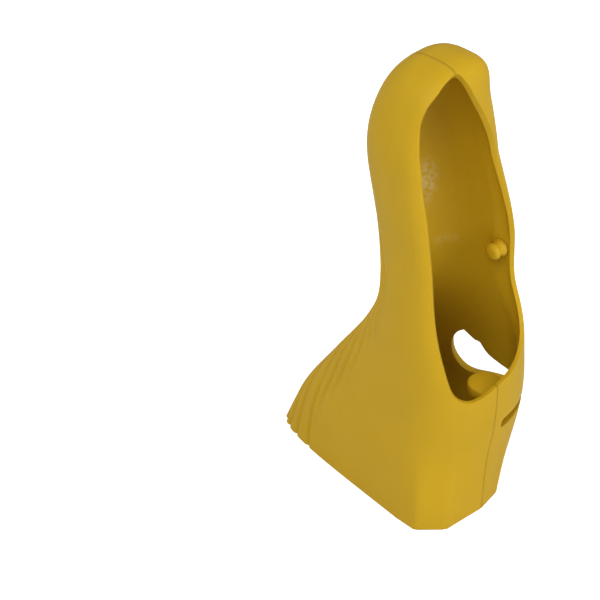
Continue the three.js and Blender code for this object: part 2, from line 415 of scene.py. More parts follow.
@dataclass(frozen=True)
class LeverOpening:
    """Outline of the opening in the underside, seen along X, as y, z corners.

    The bottom is the height of the band's upper edge, and back the least x of the cut.
    """

    bottom: float = 37.6
    back: float = -14.0
    per_span: int = 110
    corners: tuple[tuple[float, float], ...] = (
        (-7.2, 36.8), (-4.9, 36.8), (-1.1, 37.7), (2.7, 38.6), (6.6, 39.4), (11, 40.9),
        (14.8, 43.6), (17, 48), (17.7, 54), (16.9, 63), (15.4, 72), (13.4, 80), (10.9, 89),
        (8, 98), (4.1, 105.4), (0.4, 111.4), (-2, 115.8), (-3.2, 117.7), (-4.4, 118),
        (-6.6, 117.6), (-9, 116.5), (-12.1, 114), (-13.9, 110.9), (-15, 107.3), (-15.6, 102.6),
        (-15.1, 97), (-13.6, 84.4), (-12.5, 69), (-11.9, 56), (-11.9, 49.3), (-11.7, 44),
        (-10.9, 40), (-9.3, 37.8),
    )

    def outline(self) -> np.ndarray:
        """Closed outline as y, z rows.

        Returns:
            The outline's points, less than a tenth of a millimetre apart.
        """
        return closed_line(self.corners, self.per_span)


@dataclass(frozen=True)
class ThumbHole:
    """Outline of the thumb lever hole in the inboard side, seen along Y.

    A round end over the tongue narrows to a slot that ends beside the underside seam.
    """

    corners: tuple[tuple[float, float], ...] = (
        (-24.6, 31.6), (-22.1, 33.5), (-20.1, 33.7), (-18.4, 32.6), (-16.8, 30.8), (-15, 29),
        (-12, 27.7), (-8.4, 26.8), (-4, 26.7), (0, 26.8), (3, 26.9), (4.6, 25.6), (3, 24.2),
        (0, 24), (-4, 23.3), (-8, 22.8), (-11.3, 22.5), (-15, 21.9), (-19.4, 20.9),
        (-22.3, 21.2), (-24.5, 23), (-25.8, 25.6), (-25.9, 28.6),
    )
    seam_gap: float = 3.1
    end_rounding: float = 1.3
    slot_middle_z: float = 25.5
    slot_half: float = 1.6
    per_span: int = 70

    def outline(self) -> np.ndarray:
        """Closed outline as x, z rows.

        Returns:
            The outline's points, a few hundredths of a millimetre apart.
        """
        return closed_line(self.corners, self.per_span)

    def gap(self, z: float) -> float:
        """Least y that the slot reaches at a height.

        Args:
            z: height in millimetres.

        Returns:
            The y of its end.
        """
        return self.seam_gap + self.end_rounding * ((z - self.slot_middle_z) / self.slot_half) ** 2


@dataclass(frozen=True)
class Grooves:
    """Curved grooves between the ridges, as four leading lines with the rest between.

    A place on a line is the angle round the section from the palm seam, in degrees and
    + inboard, and the height in millimetres. Lines past the last lead start further along,
    without the first few corners.
    """

    leads: tuple[tuple[tuple[float, float], ...], ...] = (
        ((100, 105), (80, 97.3), (55, 93), (25, 90.8), (-4, 86.5), (-29, 83.2), (-50, 77),
         (-62, 66), (-68, 53)),
        ((100, 89), (76, 81), (45, 78.6), (20, 76), (-4, 72), (-16, 65), (-28, 57),
         (-45, 47), (-64, 35)),
        ((97, 76), (78, 69.6), (40, 66), (14, 60), (-4, 47.2), (-13, 39.5), (-28, 28.5),
         (-50, 16), (-66, -3)),
        ((64, 53), (50, 47.6), (31, 41), (12, 33.6), (-1, 15.4), (-4, 9.6), (-7, 5),
         (-10, 1), (-13, -3)),
    )
    per_lead: int = 4
    count: int = 14
    depth: float = 0.6
    half_width: float = 1.05
    inboard_fade: float = 9.0
    outboard_fade: float = 16.0
    outboard_softening: float = 0.2
    outboard_reach: float = 12.0
    rim_reach: float = 1.0
    finer_margin: float = 1.4
    faintest: float = 0.02
    skipped_corners: int = 4
    per_span: int = 60

    def samples(self, form: HoodForm, wall: Wall) -> tuple[np.ndarray, np.ndarray]:
        """Points along every groove and how strongly it is cut there.

        Args:
            form: the form that the grooves lie on.
            wall: its outer face.

        Returns:
            Points in the drawing frame, and strengths from 0 to 1.
        """
        points, strengths = [], []
        for k in range(self.count):
            line = self._line(form, wall, k)
            steps = np.linalg.norm(np.diff(line, axis=0), axis=1)
            reach = np.concatenate([[0.0], np.cumsum(steps)])
            strength = smoothstep(reach, 0.0, self.inboard_fade)
            if line[-1, 2] > self.rim_reach:
                strength = strength * smoothstep(reach[-1] - reach, 0.0, self.outboard_fade)
            outboard = smoothstep(-line[:, 1], 0.0, self.outboard_reach)
            points.append(line)
            strengths.append(strength * (1 - self.outboard_softening * outboard))
        return np.concatenate(points), np.concatenate(strengths)

    def _line(self, form: HoodForm, wall: Wall, k: int) -> np.ndarray:
        """Close points of groove k on the outer face.

        Args:
            form: the form that the groove lies on.
            wall: its outer face.
            k: the groove's number, from the nose down.

        Returns:
            Points in the drawing frame.
        """
        lead = min(k // self.per_lead, len(self.leads) - 2)
        share = (k - lead * self.per_lead) / self.per_lead
        first = self.skipped_corners if share > 1 else 0
        near = np.array(self.leads[lead][first:], dtype=float)
        far = np.array(self.leads[lead + 1][first:], dtype=float)
        places = smooth_line(near + (far - near) * share, self.per_span)
        line = []
        for turn, z in places:
            spot = form.ring(max(float(z), 0.0), wall, np.array([math.radians(turn)]))[0]
            spot[2] = z
            line.append(spot)
        return np.array(line)


def smooth_line(points: np.ndarray, per_span: int) -> np.ndarray:
    """Smooth curve through points.

    Args:
        points: the points that it passes through.
        per_span: points wanted between each pair.

    Returns:
        Points on the curve.
    """
    before = 2 * points[:1] - points[1:2]
    after = 2 * points[-1:] - points[-2:-1]
    padded = np.concatenate([before, points, after])
    t = np.linspace(0.0, 1.0, per_span, endpoint=False)[:, None]
    spans = []
    for i in range(len(points) - 1):
        a, b, c, d = padded[i : i + 4]
        spans.append(
            0.5 * (2 * b + (c - a) * t + (2 * a - 5 * b + 4 * c - d) * t**2
                   + (3 * b - a - 3 * c + d) * t**3)
        )
    return np.concatenate(spans + [points[-1:]])


def closed_line(corners: tuple[tuple[float, float], ...], per_span: int) -> np.ndarray:
    """Smooth closed curve through corners.

    Args:
        corners: the points that it passes through.
        per_span: points wanted between each pair.

    Returns:
        Points on the curve.
    """
    points = np.array(corners, dtype=float)
    ring = np.concatenate([points[-2:], points, points[:2]])
    return smooth_line(ring, per_span)[2 * per_span : -per_span - 1]


def inside(points: np.ndarray, outline: np.ndarray) -> np.ndarray:
    """Tells which flat points lie inside a closed outline.

    Args:
        points: rows of two coordinates.
        outline: the outline's points in order.

    Returns:
        True for each point inside.
    """
    result = np.zeros(len(points), dtype=bool)
    thin = outline[::8]
    after = np.roll(thin, -1, axis=0)
    for (ax, ay), (bx, by) in zip(thin, after):
        if ay == by:
            continue
        crosses = (ay > points[:, 1]) != (by > points[:, 1])
        where = ax + (points[:, 1] - ay) * (bx - ax) / (by - ay)
        result ^= crosses & (points[:, 0] < where)
    return result


class Element(Enum):
    """What a selection is made of."""

    FACES = (False, False, True)
    EDGES = (False, True, False)


def activate(piece: bpy.types.Object) -> None:
    """Makes a piece the only selected and the active object."""
    bpy.ops.object.select_all(action="DESELECT")
    piece.select_set(True)
    bpy.context.view_layer.objects.active = piece


def select(piece: bpy.types.Object, element: Element, mask: np.ndarray) -> None:
    """Selects faces or edges of a piece for the next operator.

    Args:
        piece: the mesh object.
        element: faces or edges.
        mask: True for each one wanted.
    """
    mesh = piece.data
    for kind, parts in (
        (None, mesh.vertices),
        (Element.EDGES, mesh.edges),
        (Element.FACES, mesh.polygons),
    ):
        chosen = mask if element is kind else np.zeros(len(parts), dtype=bool)
        parts.foreach_set("select", chosen)
    bpy.context.tool_settings.mesh_select_mode = element.value


def coordinates(piece: bpy.types.Object) -> np.ndarray:
    """Vertex positions of a piece as rows, in metres."""
    flat = np.empty(len(piece.data.vertices) * 3)
    piece.data.vertices.foreach_get("co", flat)
    return flat.reshape(-1, 3)


def move(piece: bpy.types.Object, points: np.ndarray) -> None:
    """Puts a piece's vertices at new positions, in metres."""
    piece.data.vertices.foreach_set("co", points.ravel())
    piece.data.update()


def face_centres(piece: bpy.types.Object) -> np.ndarray:
    """Middle of each face of a piece, in metres."""
    flat = np.empty(len(piece.data.polygons) * 3)
    piece.data.polygons.foreach_get("center", flat)
    return flat.reshape(-1, 3)


def edge_ends(piece: bpy.types.Object) -> np.ndarray:
    """The two vertex numbers of each edge of a piece."""
    flat = np.empty(len(piece.data.edges) * 2, dtype=np.int64)
    piece.data.edges.foreach_get("vertices", flat)
    return flat.reshape(-1, 2)


def apply_modifier(piece: bpy.types.Object, kind: str, **settings: object) -> None:
    """Adds a modifier to a piece, sets it and applies it.

    Args:
        piece: the mesh object.
        kind: the modifier's type.
        settings: its properties.
    """
    activate(piece)
    modifier = piece.modifiers.new("shape", kind)
    for name, value in settings.items():
        setattr(modifier, name, value)
    bpy.ops.object.modifier_apply(modifier=modifier.name)


def combine(piece: bpy.types.Object, other: bpy.types.Object, operation: str) -> None:
    """Joins, cuts or keeps the overlap of a piece with another, which is used up.

    Args:
        piece: the mesh object that is changed.
        other: the mesh object that it is combined with.
        operation: UNION, DIFFERENCE or INTERSECT.
    """
    apply_modifier(piece, "BOOLEAN", operation=operation, object=other, solver="EXACT")
    bpy.data.objects.remove(other, do_unlink=True)


def join(piece: bpy.types.Object, other: bpy.types.Object) -> None:
    """Makes another closed mesh, sunk into a piece's wall, part of that piece.

    Args:
        piece: the mesh object that is kept.
        other: the mesh object that goes into it.
    """
    activate(piece)
    other.select_set(True)
    bpy.ops.object.join()

def edit(
    piece: bpy.types.Object,
    operator: Callable[..., set[str]],
    everything: bool = False,
    **settings: object,
) -> None:
    """Runs an edit mode operator on a piece.

    Args:
        piece: the mesh object.
        operator: the operator.
        everything: whether all of the piece is selected first.
        settings: the operator's properties.
    """
    activate(piece)
    bpy.ops.object.mode_set(mode="EDIT")
    if everything:
        bpy.ops.mesh.select_all(action="SELECT")
    operator(**settings)
    bpy.ops.object.mode_set(mode="OBJECT")


def add(operator: Callable[..., set[str]], name: str, **settings: object) -> bpy.types.Object:
    """Adds a primitive.

    Args:
        operator: the operator that makes it.
        name: the name that it gets.
        settings: the operator's properties.

    Returns:
        The new mesh object.
    """
    bpy.ops.object.select_all(action="DESELECT")
    operator(**settings)
    piece = bpy.context.object
    piece.name = name
    return piece


def add_sphere(
    name: str, segments: int, rings: int
) -> tuple[bpy.types.Object, np.ndarray, np.ndarray]:
    """Adds a unit sphere whose grid is to be shaped.

    Args:
        name: the name that it gets.
        segments: faces round it.
        rings: faces from pole to pole.

    Returns:
        The sphere, and each vertex's angle round it and above its equator, in radians.
    """
    sphere = add(
        bpy.ops.mesh.primitive_uv_sphere_add, name, segments=segments, ring_count=rings, radius=1.0
    )
    points = coordinates(sphere)
    turn = np.arctan2(points[:, 1], points[:, 0])
    return sphere, turn, np.arcsin(np.clip(points[:, 2], -1.0, 1.0))


def store(piece: bpy.types.Object, name: str, values: np.ndarray) -> None:
    """Stores one number for each vertex of a piece.

    Args:
        piece: the mesh object.
        name: the attribute's name.
        values: the numbers.
    """
    attributes = piece.data.attributes
    layer = attributes.get(name) or attributes.new(name, "FLOAT", "POINT")
    layer.data.foreach_set("value", values.astype(np.float32))


def search_tree(points: np.ndarray) -> KDTree:
    """Search tree over points, by their number."""
    tree = KDTree(len(points))
    for i, spot in enumerate(points):
        tree.insert(spot, i)
    tree.balance()
    return tree


@dataclass
class HoodShell:
    """The moulded hood: shell, openings, rims, ledge, peg, tab and grooves.

    Sizes are in millimetres, shares from 0 to 1, and angles in degrees.
    """

    form: HoodForm = field(default_factory=HoodForm)
    opening: LeverOpening = field(default_factory=LeverOpening)
    thumb_hole: ThumbHole = field(default_factory=ThumbHole)
    grooves: Grooves = field(default_factory=Grooves)
    wall: float = 2.0
    palm_wall: float = 2.6
    nose_wall: float = 2.6
    columns: int = 136
    rows: int = 106
    relax_reach: float = 6.0
    relax_rounds: int = 14
    opening_wall_share: float = 0.5
    opening_wall_reach: float = 6.0
    opening_round: float = 0.4
    opening_round_margin: float = 1.5
    thumb_round: float = 0.5
    thumb_round_from: float = 10.0
    rear_round: float = 0.22
    round_steps: int = 3
    sharp_angle: float = 50.0
    smooth_angle: float = 42.0
    ledge_bottom: float = 110.5
    ledge_front: float = -17.0
    ledge_depth: float = 4.0
    peg_z: float = 63.6
    peg_from_opening: float = 2.2
    peg_radius: float = 1.7
    peg_head_radius: float = 2.1
    peg_length: float = 3.4
    tab_width: float = 8.0
    tab_reach: float = 8.0
    tab_thickness: float = 2.6
    tab_drop: float = 1.2
    tab_middle_y: float = 2.0
    tab_round: float = 0.5
    outer_skin: float = 1.1
    settle_reach: float = 0.3
    settle_limit: float = 0.08
    rim_band: float = 0.6
    opening_steps: int = 300
    thumb_steps: int = 400
    rear_limit: float = 0.01
    band_margin: float = 3.0
    band_back: float = -20.0
    within_from: float = 0.9
    within_span: float = 0.6
    seam_heights: tuple[float, ...] = (0, 50, 62, 80, 86, 100, 120)
    seam_places: tuple[float, ...] = (1, 1, 0, -1.6, -2.8, -4, -4)
    band_seam_y: float = 0.8

    def __post_init__(self) -> None:
        """Makes the two faces of the shell."""
        form = self.form
        outer = Wall(0.0, 0.0, form.nose_height)
        inner = Wall(self.wall, self.palm_wall, form.nose_height - self.nose_wall)
        self.outer = WallTable(form, outer)
        self.inner = WallTable(form, inner)

    def build(self) -> bpy.types.Object:
        """Makes the whole hood.

        Returns:
            The finished mesh object.
        """
        piece = self._sheet()
        self._cut(piece)
        self._thicken(piece)
        self._round_rims(piece)
        log.info("shell with rims: %d faces", len(piece.data.polygons))
        combine(piece, self._peg(), "UNION")
        combine(piece, self._tab(), "UNION")
        join(piece, self._ledge())
        log.info("with ledge, peg and tab: %d faces", len(piece.data.polygons))
        self._press_grooves(piece)
        self._mark(piece)
        activate(piece)
        bpy.ops.object.shade_smooth_by_angle(angle=math.radians(self.smooth_angle))
        piece.data.calc_loop_triangles()
        log.info("hood: %d triangles", len(piece.data.loop_triangles))
        return piece

    def _sheet(self) -> bpy.types.Object:
        """Shapes a sphere's grid into the closed outer face, open at the rear rim.

        Returns:
            The sheet.
        """
        piece, turn, lift = add_sphere("hood_shell", self.columns, self.rows + 1)
        around = np.mod(-turn / (2 * math.pi), 1.0)
        row = np.round((lift / math.pi + 0.5) * (self.rows + 1)) - 1
        along = np.clip(row / self.rows, 0.0, 1.0)
        store(piece, "around", around)
        store(piece, "along", along)
        move(piece, to_frame(self.outer.at(around, along)))
        foot = row < -0.5
        mask = np.array([any(foot[i] for i in face.vertices) for face in piece.data.polygons])
        self._delete_faces(piece, mask)
        return piece

    @staticmethod
    def _delete_faces(piece: bpy.types.Object, mask: np.ndarray) -> None:
        """Deletes faces of a piece and what hangs on them alone.

        Args:
            piece: the mesh object.
            mask: True for each face to delete.
        """
        select(piece, Element.FACES, mask)
        edit(piece, bpy.ops.mesh.delete, type="FACE")

    @staticmethod
    def _places(piece: bpy.types.Object) -> tuple[np.ndarray, np.ndarray]:
        """Places of a piece's vertices on the shell.

        Args:
            piece: the mesh object.

        Returns:
            Places around, from -0.5 to 0.5 with 0 at the underside seam, and along.
        """
        result = []
        for name in ("around", "along"):
            values = np.empty(len(piece.data.vertices), dtype=np.float32)
            piece.data.attributes[name].data.foreach_get("value", values)
            result.append(values.astype(float))
        return np.mod(result[0] + 0.5, 1.0) - 0.5, result[1]

    def _opening_places(self) -> np.ndarray:
        """Outline of the lever opening as places on the shell.

        Returns:
            Rows of around and along.
        """
        places = []
        for y, z in self.opening.outline():
            along = float(self.form.along(np.array(z)))
            around = np.linspace(-0.25, 0.25, self.opening_steps + 1)
            ring = self.outer.at(around, np.full_like(around, along))
            places.append((np.interp(-y, -ring[:, 1], around), along))
        return np.array(places)

    def _thumb_places(self) -> np.ndarray:
        """Outline of the thumb lever hole as places on the shell.

        Returns:
            Rows of around and along.
        """
        places = []
        for x, z in self.thumb_hole.outline():
            along = float(self.form.along(np.array(z)))
            around = np.linspace(-0.5, 0.0, self.thumb_steps + 1)
            ring = self.outer.at(around, np.full_like(around, along))
            under = len(around) // 2
            limit = np.interp(-self.thumb_hole.gap(z), -ring[under:, 1], around[under:])
            places.append((min(np.interp(x, ring[:, 0], around), limit), along))
        return np.array(places)

    def _cut(self, piece: bpy.types.Object) -> None:
        """Cuts both openings out of the sheet and brings its grid to their outlines.

        Args:
            piece: the sheet.
        """
        centres = to_drawing(face_centres(piece))
        lever = inside(centres[:, 1:], self.opening.outline())
        lever &= centres[:, 0] > self.opening.back
        thumb = inside(centres[:, [0, 2]], self.thumb_hole.outline())
        thumb &= centres[:, 1] > self.thumb_hole.gap(centres[:, 2])
        self._delete_faces(piece, lever | thumb)
        places = np.concatenate([self._opening_places(), self._thumb_places()])
        outlines = search_tree(self.outer.at(places[:, 0], places[:, 1]))
        around, along = self._places(piece)
        points = to_drawing(coordinates(piece))
        edges = edge_ends(piece)
        used = np.empty(len(piece.data.loops), dtype=np.int64)
        piece.data.loops.foreach_get("edge_index", used)
        border = np.zeros(len(points), dtype=bool)
        border[edges[np.bincount(used, minlength=len(edges)) == 1].ravel()] = True
        rear = border & (points[:, 2] < self.rear_limit)
        free = np.zeros(len(points), dtype=bool)
        for i in np.nonzero(~rear)[0]:
            _, nearest, distance = outlines.find(points[i])
            if border[i]:
                around[i], along[i] = places[nearest]
            else:
                free[i] = distance < self.relax_reach
        count = np.bincount(edges.ravel(), minlength=len(points))
        for _ in range(self.relax_rounds):
            for values in (around, along):
                total = np.zeros(len(points))
                for a, b in ((0, 1), (1, 0)):
                    np.add.at(total, edges[:, a], values[edges[:, b]])
                values[free] = total[free] / count[free]
        store(piece, "around", around)
        store(piece, "along", along)
        move(piece, to_frame(self.outer.at(around, along)))

    def _thicken(self, piece: bpy.types.Object) -> None:
        """Gives the sheet its wall, thinner towards the lever opening's rim.

        Args:
            piece: the sheet.
        """
        count = len(piece.data.vertices)
        around, along = self._places(piece)
        thickness = self.wall * MILLIMETRE
        apply_modifier(piece, "SOLIDIFY", thickness=thickness, offset=-1.0, use_rim=True)
        points = coordinates(piece)
        outside = self.outer.at(around, along)
        depth = self.inner.at(around, along) - outside
        places = self._opening_places()
        rim = search_tree(self.outer.at(places[:, 0], places[:, 1]))
        away = np.array([rim.find(spot)[2] for spot in outside])
        share = smoothstep(away, 0.0, self.opening_wall_reach)
        share = self.opening_wall_share + (1 - self.opening_wall_share) * share
        points[:count] = to_frame(outside)
        points[count:] = to_frame(outside + depth * share[:, None])
        move(piece, points)

    def _sharp_edges(self, piece: bpy.types.Object) -> np.ndarray:
        """Tells which edges of a piece are sharp.

        Args:
            piece: the mesh object.

        Returns:
            True for each edge whose two faces turn by more than the sharp angle.
        """
        mesh = piece.data
        normals = np.zeros((len(mesh.edges), 2, 3))
        seen = np.zeros(len(mesh.edges), dtype=int)
        for face in mesh.polygons:
            for loop in face.loop_indices:
                edge = mesh.loops[loop].edge_index
                if seen[edge] < 2:
                    normals[edge, seen[edge]] = face.normal
                seen[edge] += 1
        cosine = np.einsum("ij,ij->i", normals[:, 0], normals[:, 1])
        return (cosine < math.cos(math.radians(self.sharp_angle))) & (seen == 2)

    def _round_rims(self, piece: bpy.types.Object) -> None:
        """Rounds both edges of each rim with the bevel operator.

        Args:
            piece: the shell.
        """
        opening_low = self.opening.bottom - self.opening_round_margin
        for low, high, size in (
            (opening_low, math.inf, self.opening_round),
            (self.thumb_round_from, opening_low, self.thumb_round),
            (-1.0, 0.1, self.rear_round),
        ):
            ends = to_drawing(coordinates(piece))[:, 2][edge_ends(piece)]
            between = (ends.min(axis=1) > low) & (ends.max(axis=1) < high)
            select(piece, Element.EDGES, self._sharp_edges(piece) & between)
            edit(
                piece,
                bpy.ops.mesh.bevel,
                offset_type="OFFSET",
                offset=size * MILLIMETRE,
                segments=self.round_steps,
                profile=0.5,
                affect="EDGES",
                clamp_overlap=True,
            )

    def _ledge(self) -> bpy.types.Object:
        """Block across the inside of the nose, cut from a core as wide as mid-wall.

        Returns:
            The block.
        """
        form = self.form
        core, turn, lift = add_sphere("nose_ledge", 72, 60)
        around = np.mod(-turn / (2 * math.pi), 1.0)
        lift = lift / QUARTER_TURN
        along = form.body_share + (1 - form.body_share) * np.clip(lift, 0.0, 1.0)
        middle = (self.outer.at(around, along) + self.inner.at(around, along)) / 2
        spine = np.array([form.nose_tip_x, form.stations[-1].lean])
        spread = np.clip(1 + lift, 0.0, 1.0)[:, None]
        middle[:, :2] = spine + (middle[:, :2] - spine) * spread
        middle[:, 2] += np.minimum(lift, 0.0) * self.ledge_depth
        move(core, to_frame(middle))
        front = to_frame(np.array([self.ledge_front, 0.0, self.ledge_bottom])).tolist()
        for normal in ((1.0, 0.0, 0.0), (0.0, 0.0, -1.0)):
            edit(
                core,
                bpy.ops.mesh.bisect,
                everything=True,
                plane_co=front,
                plane_no=normal,
                use_fill=True,
                clear_outer=True,
            )
        return core

    def _peg(self) -> bpy.types.Object:
        """Locating peg: a stem with a flared foot and a wider round head.

        Returns:
            The peg.
        """
        form = self.form
        middle_x = form.value("under", self.peg_z)
        middle_x += self.peg_from_opening - form.widest_from_nose_front
        ring = form.ring(self.peg_z, self.outer.wall)
        side = ring[ring[:, 1] > form.value("lean", self.peg_z) + 5]
        side = side[np.argsort(side[:, 0])]
        skin = self.wall / 2
        root = np.interp(middle_x + self.peg_radius, side[:, 0], side[:, 1]) - skin
        stem, head = self.peg_radius, self.peg_head_radius
        profile = np.array([
            (stem * 1.1, 0.0),
            (stem * 1.3, skin),
            (stem * 1.08, skin + 0.5),
            (stem, skin + 1.0),
            (stem, skin + 1.6),
            (head * 0.97, skin + 2.0),
            (head, skin + 2.4),
            (head * 0.92, skin + 2.9),
            (head * 0.66, skin + 3.25),
            (head * 0.3, skin + self.peg_length),
        ])
        peg, turn, lift = add_sphere("peg", 32, len(profile) + 1)
        row = np.round((lift / math.pi + 0.5) * (len(profile) + 1)).astype(int) - 1
        radius, height = profile[np.clip(row, 0, len(profile) - 1)].T
        radius = np.where((row < 0) | (row >= len(profile)), 0.0, radius)
        x = middle_x + radius * np.cos(turn)
        z = self.peg_z + radius * np.sin(turn)
        move(peg, to_frame(np.stack([x, root - height, z], axis=-1)))
        edit(peg, bpy.ops.mesh.normals_make_consistent, everything=True, inside=False)
        return peg

    def _tab(self) -> bpy.types.Object:
        """Round-ended tab on the inside of the band below the lever opening.

        Returns:
            The tab.
        """
        start = self.form.value("under", self.opening.bottom) - self.wall / 2
        half = self.tab_width / 2
        top = self.opening.bottom - self.tab_drop
        tab = add(
            bpy.ops.mesh.primitive_cylinder_add, "band_tab", vertices=48, radius=1.0, depth=2.0
        )
        points = coordinates(tab)
        straight = points[:, 0] > 0
        x = np.where(straight, start, start - self.tab_reach + half + points[:, 0] * half)
        flank = straight & (np.abs(points[:, 1]) >= 0.98)
        y = np.where(flank, np.sign(points[:, 1]), points[:, 1]) * half + self.tab_middle_y
        z = top + (points[:, 2] - 1) * self.tab_thickness / 2
        move(tab, to_frame(np.stack([x, y, z], axis=-1)))
        heights = to_drawing(coordinates(tab))[:, 2][edge_ends(tab)]
        select(tab, Element.EDGES, np.abs(heights[:, 0] - heights[:, 1]) < 0.1)
        edit(
            tab,
            bpy.ops.mesh.bevel,
            offset=self.tab_round * MILLIMETRE,
            segments=3,
            profile=0.5,
            affect="EDGES",
        )
        edit(tab, bpy.ops.mesh.normals_make_consistent, everything=True, inside=False)
        return tab

    def _press_grooves(self, piece: bpy.types.Object) -> None:
        """Makes the grid finer along the grooves and presses them in.

        Args:
            piece: the shell.
        """
        samples, strengths = self.grooves.samples(self.form, self.outer.wall)
        lines = search_tree(samples)
        half_width = self.grooves.half_width
        finer_reach = half_width + self.grooves.finer_margin
        face = self.outer.tree()
        skin = self.outer_skin * MILLIMETRE
        centres = face_centres(piece)
        mask = np.zeros(len(centres), dtype=bool)
        for i, spot in enumerate(to_drawing(centres)):
            _, nearest, distance = lines.find(spot)
            if distance < finer_reach and strengths[nearest] > self.grooves.faintest:
                mask[i] = face.find_nearest(Vector(centres[i]))[3] < skin
        select(piece, Element.FACES, mask)
        edit(
            piece,
            bpy.ops.mesh.subdivide,
            number_cuts=2,
            smoothness=0.0,
            ngon=True,
            quadcorner="INNERVERT",
        )
        points = coordinates(piece)
        reach = self.settle_reach * MILLIMETRE
        for i, spot in enumerate(points):
            if spot[2] > reach:
                place, _, _, away = face.find_nearest(Vector(spot), reach)
                if place is not None and away < self.settle_limit * MILLIMETRE:
                    points[i] = place
        move(piece, points)
        drawn = to_drawing(points)
        cut = np.zeros(len(points))
        for i, spot in enumerate(drawn):
            _, nearest, distance = lines.find(spot)
            if distance < half_width and face.find_nearest(Vector(points[i]))[3] <= skin:
                cut[i] = strengths[nearest] * 0.5 * (1 + math.cos(math.pi * distance / half_width))
        normals = np.empty(len(points) * 3)
        piece.data.vertex_normals.foreach_get("vector", normals)
        normals = normals.reshape(-1, 3)
        normals[drawn[:, 2] < self.rim_band, 2] = 0.0
        normals /= np.maximum(np.linalg.norm(normals, axis=1), 1e-6)[:, None]
        depth = cut * self.grooves.depth * MILLIMETRE
        move(piece, points - normals * depth[:, None])
        # the cut depth is kept for the material's painted shade in the grooves
        store(piece, "groove", cut)

    def _mark(self, piece: bpy.types.Object) -> None:
        """Stores how far each point lies from the parting line, and if it is inside.

        Args:
            piece: the hood.
        """
        points = coordinates(piece)
        x, y, z = to_drawing(points).T
        band = (z < self.opening.bottom + self.band_margin) & (x > self.band_back)
        palm_seam = np.interp(z, self.seam_heights, self.seam_places)
        store(piece, "seam", y - np.where(band, self.band_seam_y, palm_seam))
        outer = self.outer.tree()
        depth = np.array([outer.find_nearest(Vector(spot))[3] for spot in points])
        within = (depth / MILLIMETRE - self.within_from) / self.within_span
        store(piece, "within", np.clip(within, 0.0, 1.0))


@dataclass(frozen=True)
class Graph:
    """Adds nodes to a node tree, fills their inputs and links them."""

    tree: bpy.types.NodeTree

    def fill(self, node: bpy.types.Node, inputs: dict[str | int, object]) -> None:
        """Sets or links a node's inputs.

        Args:
            node: the node.
            inputs: constants or sockets, by the input's name or number.
        """
        for name, value in inputs.items():
            if isinstance(value, bpy.types.NodeSocket):
                self.tree.links.new(value, node.inputs[name])
            else:
                node.inputs[name].default_value = value

    def node(
        self, kind: str, inputs: dict[str | int, object], **settings: object
    ) -> bpy.types.Node:
        """Adds a node.

        Args:
            kind: its type, without the word that all shader nodes share.
            inputs: constants or sockets, by the input's name or number.
            settings: its properties.

        Returns:
            The node.
        """
        node = self.tree.nodes.new("ShaderNode" + kind)
        for name, value in settings.items():
            setattr(node, name, value)
        self.fill(node, inputs)
        return node

    def attribute(self, name: str) -> bpy.types.NodeSocket:
        """Value of a mesh attribute."""
        return self.node("Attribute", {}, attribute_name=name).outputs["Fac"]

    def noise(
        self, place: bpy.types.NodeSocket, scale: float, detail: float
    ) -> bpy.types.NodeSocket:
        """Noise at a place."""
        inputs = {"Vector": place, "Scale": scale, "Detail": detail}
        return self.node("TexNoise", inputs).outputs["Fac"]

    def calculate(
        self, operation: str, *values: object, clamp: bool = False
    ) -> bpy.types.NodeSocket:
        """Result of a maths operation on constants or sockets."""
        node = self.node("Math", dict(enumerate(values)), operation=operation, use_clamp=clamp)
        return node.outputs["Value"]

    def fall(self, value: bpy.types.NodeSocket, start: float, end: float) -> bpy.types.NodeSocket:
        """Falls smoothly from 1 where the value is at start to 0 where it is at end."""
        inputs = {"Value": value, "From Min": start, "From Max": end, "To Min": 1.0, "To Max": 0.0}
        return self.node("MapRange", inputs, interpolation_type="SMOOTHSTEP").outputs["Result"]

    def mix(self, share: object, first: object, second: object) -> bpy.types.NodeSocket:
        """Mixes two colours."""
        inputs = {"Factor": share, "A": first, "B": second}
        return self.node("Mix", inputs, data_type="RGBA").outputs["Result"]

    def bump(
        self, height: object, strength: float, distance: float, **normal: object
    ) -> bpy.types.NodeSocket:
        """Normal that a height gives, on top of the one given as Normal, if any."""
        inputs = {"Height": height, "Strength": strength, "Distance": distance, **normal}
        return self.node("Bump", inputs).outputs["Normal"]


@dataclass(frozen=True)
class Mark:
    """A soft-edged mark on the rubber: its place, half sizes and turn, and its colour."""

    place: tuple[float, float, float]
    size: tuple[float, float, float]
    turn: tuple[float, float, float]
    colour: tuple[float, float, float]
    strength: float
    speck_scale: float
    soft_from: float = 0.2
    speck_range: tuple[float, float] = (0.38, 0.62)

    def over(
        self, graph: Graph, place: bpy.types.NodeSocket, colour: bpy.types.NodeSocket
    ) -> bpy.types.NodeSocket:
        """Lays the mark over a colour.

        Args:
            graph: the material's nodes.
            place: the Object coordinates.
            colour: the colour below.

        Returns:
            The colour with the mark.
        """
        shape = graph.node(
            "Mapping",
            {
                "Vector": place,
                "Location": to_frame(np.array(self.place)).tolist(),
                "Rotation": [math.radians(turn) for turn in self.turn],
                "Scale": [size * MILLIMETRE for size in self.size],
            },
            vector_type="TEXTURE",
        )
        reach = graph.node("VectorMath", {0: shape.outputs["Vector"]}, operation="LENGTH")
        fall = graph.fall(reach.outputs["Value"], self.soft_from, 1.0)
        speck = graph.noise(place, self.speck_scale, 5.0)
        low, high = self.speck_range
        inputs = {"Value": speck, "From Min": low, "From Max": high}
        broken = graph.node("MapRange", inputs).outputs["Result"]
        amount = graph.calculate("MULTIPLY", fall, broken)
        scaled = graph.calculate("MULTIPLY", amount, self.strength)
        return graph.mix(scaled, colour, (*self.colour, 1.0))


